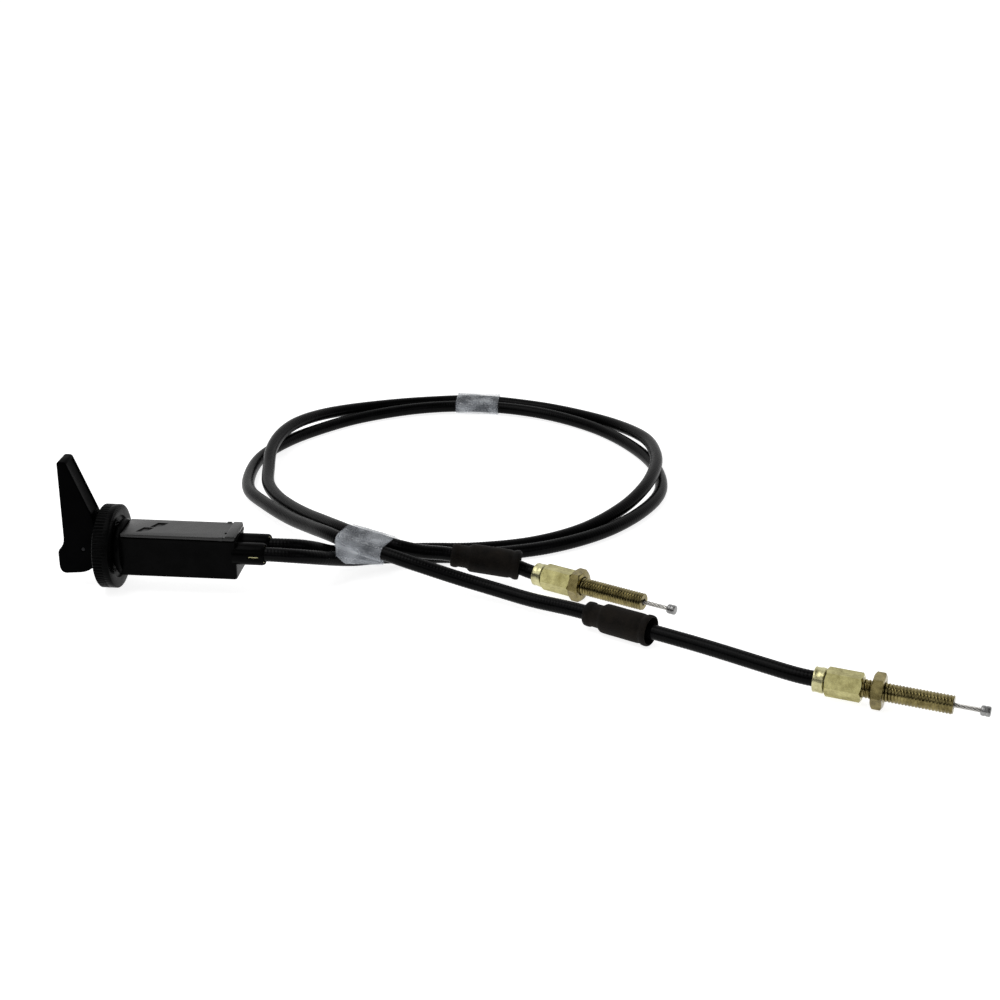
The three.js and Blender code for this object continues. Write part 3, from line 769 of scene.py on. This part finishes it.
def control_side(number, side):
    y = side * OUTLET_Y
    nipple = shifted(turned([(6, 0), (6, 1.1), (6.3, 1.4), (10.1, 1.4), (10.4, 1.1), (10.4, 0)],
                            28), y=y, z=OUTLET_Z)
    piece(nipple, f"pull_nipple_{number}", "zinc_alloy", "plunger_body",
          f"wire_nipple_{number}")
    piece(stranded(10.7, 29, y, OUTLET_Z), f"inner_wire_{number}", "steel", "plunger_body",
          f"control_wire_{number}", sharp=70)
    ferrule = shifted(turned([
        (27.0, 1.2), (27.0, 2.8), (27.3, 3.1), (34.5, 3.1), (34.8, 3.05), (35.0, 2.9),
        (35.0, 2.8), (28.4, 2.75), (28.4, 1.2)], 48), y=y, z=OUTLET_Z)
    piece(ferrule, f"outlet_ferrule_{number}", "bright_zinc", "base",
          f"conduit_ferrule_{number}")


# ---------------------------------------------------------------- rubber boots
def boot(number):
    rng = random.Random(40 + number)
    profile = [
        (0.0, 2.85), (0.0, 3.75), (0.3, 4.05), (1.2, 4.2), (2.2, 4.15), (2.6, 3.9), (3.0, 3.85),
        (5.2, 3.9), (5.9, 4.1), (6.4, 4.55), (6.9, 4.85), (7.6, 4.93), (10, 4.95), (14, 4.93),
        (18, 4.95), (20.3, 4.93), (20.8, 4.8), (21.2, 4.72), (21.6, 4.85), (22.1, 5.12),
        (22.8, 5.2), (23.5, 5.16), (23.85, 5.0), (24.0, 4.8), (23.9, 4.55), (23.0, 4.4),
        (16, 4.32), (9.2, 4.3), (7.6, 2.85),
    ]
    phase = rng.uniform(0, 10)
    sides = 56
    rings = []
    for x, r in profile:
        ring = []
        for i in range(sides):
            angle = 2 * math.pi * i / sides
            point = Vector((x * 0.12 + phase, math.cos(angle) * 0.8, math.sin(angle) * 0.8))
            dent = 0.07 * noise.noise(point) if 1 < x < 23.9 and r > 4.1 else 0.0
            ring.append((x, (r + dent) * math.cos(angle), (r + dent) * math.sin(angle)))
        rings.append(ring)
    bm = moved(skin(rings, closed=True), boot_place(number))
    return piece(bm, f"boot_sleeve_{number}", "rubber", f"boot_{number}",
                 f"rubber_boot_{number}", sharp=50)


# ---------------------------------------------------------------- adjusters
def crimp_ferrule():
    """A turned cap crimped on the cable end: six flats pressed into its skirt."""
    sides = 72
    stations = [(0.0, 3.75, 0), (0.12, 3.92, 0), (0.4, 4.0, 0.2), (0.7, 4.0, 1), (1.7, 4.0, 1),
                (2.0, 4.0, 0.2), (2.3, 4.0, 0), (3.15, 4.0, 0), (3.4, 3.75, 0)]
    rings = []
    for x, r, press in stations:
        ring = []
        for i in range(sides):
            turn = i / sides
            flat = math.cos(6 * 2 * math.pi * turn)
            radius = r - press * 0.12 * (0.5 + 0.5 * flat)
            ring.append((x, radius * math.cos(2 * math.pi * turn),
                         radius * math.sin(2 * math.pi * turn)))
        rings.append(ring)
    for x, r in ((3.4, 1.2), (2.8, 1.2), (2.8, 2.8), (0.25, 2.8), (0.0, 3.0)):
        rings.append([(x, r * math.cos(2 * math.pi * i / sides),
                       r * math.sin(2 * math.pi * i / sides)) for i in range(sides)])
    return skin(rings, closed=True)


def chamfered_hex(across_flats, x0, x1, bore, edge=0.45):
    corner = across_flats / math.sqrt(3)
    cone = turned([(x0, 0), (x0, across_flats / 2 - 0.05), (x0 + edge, corner - 0.02),
                   (x0 + edge + 0.3, corner + 0.4), (x1 - edge - 0.3, corner + 0.4),
                   (x1 - edge, corner - 0.02), (x1, across_flats / 2 - 0.05), (x1, 0)], 72)
    hole = turned([(x0 - 1, 0), (x0 - 1, bore + 1.3), (x0 + 0.3, bore), (x1 - 0.3, bore),
                   (x1 + 1, bore + 1.3), (x1 + 1, 0)], 48)
    return combined(hexagon(across_flats, x0, x1), ("INTERSECT", cone), ("DIFFERENCE", hole))


def end_barrel(start):
    profile = [(0, 0), (0, 1.1), (0.15, 1.4), (0.4, 1.55), (0.8, BARREL_R), (1.25, BARREL_R),
               (1.38, 1.48), (1.55, 1.48), (1.68, BARREL_R), (BARREL_LEN - 0.4, BARREL_R),
               (BARREL_LEN - 0.12, 1.45), (BARREL_LEN, 1.15), (BARREL_LEN, 0)]
    return shifted(turned(profile, 36), x=start)


def adjuster(number):
    place = adjuster_place(number)
    nut_start = HEX_END + ADJUSTERS[number]["nut_gap"]
    tube_body = f"adjusting_tube_{number}"
    wire_end = THREAD_END + ADJUSTERS[number]["wire_out"]
    return [
        piece(moved(crimp_ferrule(), place), f"crimp_cap_{number}", "bright_zinc", "base",
              f"crimp_ferrule_{number}"),
        piece(moved(chamfered_hex(HEX_AF, HEX_START, HEX_END, THREAD_R + 0.2), place),
              f"hex_body_{number}", "yellow_zinc", "base", f"hex_sleeve_{number}"),
        piece(moved(threaded(THREAD_START, THREAD_END, THREAD_R, 0.27, 1.0, 1.2), place),
              f"screw_tube_{number}", "olive_zinc", tube_body, f"threaded_tube_{number}"),
        piece(moved(chamfered_hex(NUT_AF, nut_start, nut_start + JAM_NUT_LEN, THREAD_R + 0.2,
                                  0.5), place),
              f"jam_nut_{number}", "olive_zinc", f"lock_nut_body_{number}",
              f"lock_nut_{number}"),
        piece(moved(stranded(WIRE_START, wire_end + GAP + 0.2, 0, 0), place), f"outer_wire_{number}",
              "steel", f"wire_end_{number}", f"end_wire_{number}", sharp=70),
        piece(moved(end_barrel(wire_end + GAP), place), f"end_nipple_{number}", "zinc_alloy",
              f"wire_end_{number}", f"end_barrel_{number}"),
    ]


# ---------------------------------------------------------------- tapes
TAPE_CIRCLES = [(-2.9, -0.4), (2.9, 0.4)]
TAPE_LENGTH = 19
TAPE_LIFT = 0.74
TAPE_THICKNESS = 0.1


def hull_point(angle, offset):
    """The point of the band round two circles in the direction of angle, in its own YZ plane."""
    normal = Vector((math.cos(angle), math.sin(angle)))
    centre = max(TAPE_CIRCLES, key=lambda c: c[0] * normal.x + c[1] * normal.y)
    return Vector(centre) + normal * (CABLE_R + offset)


def tape_place(at, heading, fall):
    return (Matrix.Translation(Vector(at)) @ Matrix.Rotation(math.radians(heading), 4, "Z")
            @ Matrix.Rotation(math.radians(fall), 4, "Y"))


def tape_band(length, place, seed, rumple_depth, rib=0.0):
    """A wrapped strip: sawn ends, wrinkles, and a sag where it spans between the cables."""
    sides, steps = 96, 44
    outer, inner = [], []
    for k in range(steps + 1):
        share = k / steps
        out_ring, in_ring = [], []
        for i in range(sides):
            angle = 2 * math.pi * i / sides
            saw = 0.22 * (1 - abs((i * 0.25) % 1 * 2 - 1)) * (1 if share > 0.5 else -1)
            ends = max(0.0, abs(2 * share - 1) - 0.9) / 0.1
            x = (share - 0.5) * (length - 0.5) + saw * ends
            rumple = noise.noise(Vector((x * 0.35, math.cos(angle) * 1.5,
                                         math.sin(angle) * 1.5 + seed)))
            ribs = rib * math.cos(2 * math.pi * x / RIB_PITCH)
            span = 0.18 * max(0.0, abs(math.sin(angle)) - 0.93) / 0.07
            offset = TAPE_LIFT + rumple_depth * rumple + ribs - span
            point = hull_point(angle, offset)
            out_ring.append((x, point.x, point.y))
            point = hull_point(angle, offset - TAPE_THICKNESS)
            in_ring.append((x, point.x, point.y))
        outer.append(out_ring)
        inner.append(in_ring)
    return moved(skin(outer + inner[::-1], closed=True), place)


front_place = tape_place((67.2, 13.8, 13.2), -23.5, 3.5)
top_tape = piece(tape_band(TAPE_LENGTH, tape_place((87, 191, 3.8), 0, 0), 3.1, 0.1), "tape_wrap_top",
                 "clear_tape", "base", "tape_top", sharp=60)
front_tape = piece(tape_band(TAPE_LENGTH, front_place, 8.4, 0.04, 0.07), "tape_wrap_front", "clear_tape",
                   "base", "tape_front", sharp=60)


def tape_flap():
    """The loose end of the front tape, which hangs down past the lower pair of cables."""
    corners = [  # left and right edge of the strip, from where it leaves the band
        ((56.2, 13.9, 15.0), (74.3, 5.3, 10.5)),
        ((57.7, 5.5, 11.5), (74.3, 6.0, 9.2)),
        ((60.5, 6.8, 8.0), (74.0, 6.8, 8.0)),
    ]
    across, down = 26, 14
    grid = []
    for k in range(down + 1):
        t = k / down * (len(corners) - 1)
        n = min(int(t), len(corners) - 2)
        left = Vector(corners[n][0]).lerp(Vector(corners[n + 1][0]), t - n)
        right = Vector(corners[n][1]).lerp(Vector(corners[n + 1][1]), t - n)
        row = []
        for i in range(across + 1):
            share = i / across
            point = left.lerp(right, share)
            ruck = noise.noise(Vector((share * 3.0, k * 0.35, 2.0)))
            point += Vector((0.0, -0.25, 0.3)) * ruck
            row.append(point)
        grid.append(row)
    thick = Vector((0.05, 0.09, 0.03))
    back = [[p + thick for p in row] for row in grid]
    bm = bmesh.new()
    front_v = [[bm.verts.new(p) for p in row] for row in grid]
    back_v = [[bm.verts.new(p) for p in row] for row in back]
    for k in range(down):
        for i in range(across):
            bm.faces.new((front_v[k][i], front_v[k][i + 1], front_v[k + 1][i + 1],
                          front_v[k + 1][i]))
            bm.faces.new((back_v[k + 1][i], back_v[k + 1][i + 1], back_v[k][i + 1],
                          back_v[k][i]))
    border = ([(0, i) for i in range(across)] + [(k, across) for k in range(down)]
              + [(down, i) for i in range(across, 0, -1)] + [(k, 0) for k in range(down, 0, -1)])
    for (a, b), (c, d) in zip(border, border[1:] + border[:1]):
        bm.faces.new((front_v[a][b], back_v[a][b], back_v[c][d], front_v[c][d]))
    return piece(bm, "tape_flap_front", "clear_tape", "base", sharp=60)


flap = tape_flap()

# ---------------------------------------------------------------- the assembly
housing()
housing_cover()
panel_nut()
lever()
pivot_pin()
plunger()
control_side(1, 1)
control_side(2, -1)
boots = {number: boot(number) for number in (1, 2)}
fittings = {number: adjuster(number) for number in (1, 2)}

for number, side in ((1, 1), (2, -1)):
    extras = [boots[number], *fittings[number]]
    if number == 1:
        extras += [top_tape, front_tape, flap]

# ---------------------------------------------------------------- floor and light
floor_mesh = bpy.data.meshes.new("floor")
half = 3.0
floor_mesh.from_pydata([(-half, -half, 0), (half, -half, 0), (half, half, 0), (-half, half, 0)],
                       [], [(0, 1, 2, 3)])
floor = bpy.data.objects.new("floor", floor_mesh)
scene.collection.objects.link(floor)
paper, paper_tree, paper_shader = new_material("floor_paper")
paper_colour = ramp(paper_tree, noise_texture(paper_tree, 6, 2),
                    [(0.2, (0.5, 0.5, 0.5)), (0.8, (0.55, 0.55, 0.55))])
paper_tree.links.new(paper_colour, paper_shader.inputs["Base Color"])
paper_shader.inputs["Roughness"].default_value = 0.8
paper_shader.inputs["Emission Color"].default_value = (1.0, 1.0, 1.0, 1.0)
paper_shader.inputs["Emission Strength"].default_value = 0.85
floor_mesh.materials.append(paper)

# A bright wall behind the object and a dim room in front, so dark faces towards the front stay dark.
world = bpy.data.worlds.new("studio")
world.use_nodes = True
sky = world.node_tree
direction = sky.nodes.new("ShaderNodeSeparateXYZ")
sky.links.new(sky.nodes.new("ShaderNodeTexCoord").outputs["Generated"], direction.inputs["Vector"])
glow = value_range(sky, direction.outputs["Y"], 0.04, 1.0, (-0.1, 0.7))
sky.links.new(ramp(sky, glow, [(0.0, (0.0, 0.0, 0.0)), (1.0, (1.0, 1.0, 1.0))]),
              sky.nodes["Background"].inputs["Color"])
sky.nodes["Background"].inputs["Strength"].default_value = 1.0
scene.world = world


def area_light(name, place, target, size, power):
    data = bpy.data.lights.new(name, "AREA")
    data.shape = "RECTANGLE"
    data.size, data.size_y = size
    data.energy = power
    light = bpy.data.objects.new(name, data)
    light.location = place
    aim = Vector(target) - Vector(place)
    light.rotation_euler = aim.to_track_quat("-Z", "Y").to_euler()
    scene.collection.objects.link(light)


area_light("key", (-0.25, -0.1, 0.9), (0.12, 0.06, 0.0), (0.7, 0.5), 3.5)
area_light("fill", (0.7, -0.7, 0.6), (0.12, 0.02, 0.0), (0.6, 0.6), 0.8)
area_light("front", (-0.1, -0.95, 0.68), (0.23, -0.06, 0.0), (0.5, 0.4), 0.7)
area_light("side", (-0.45, -0.38, 0.55), (0.14, 0.0, 0.0), (0.5, 0.4), 0.85)
scene.view_settings.view_transform = "Standard"
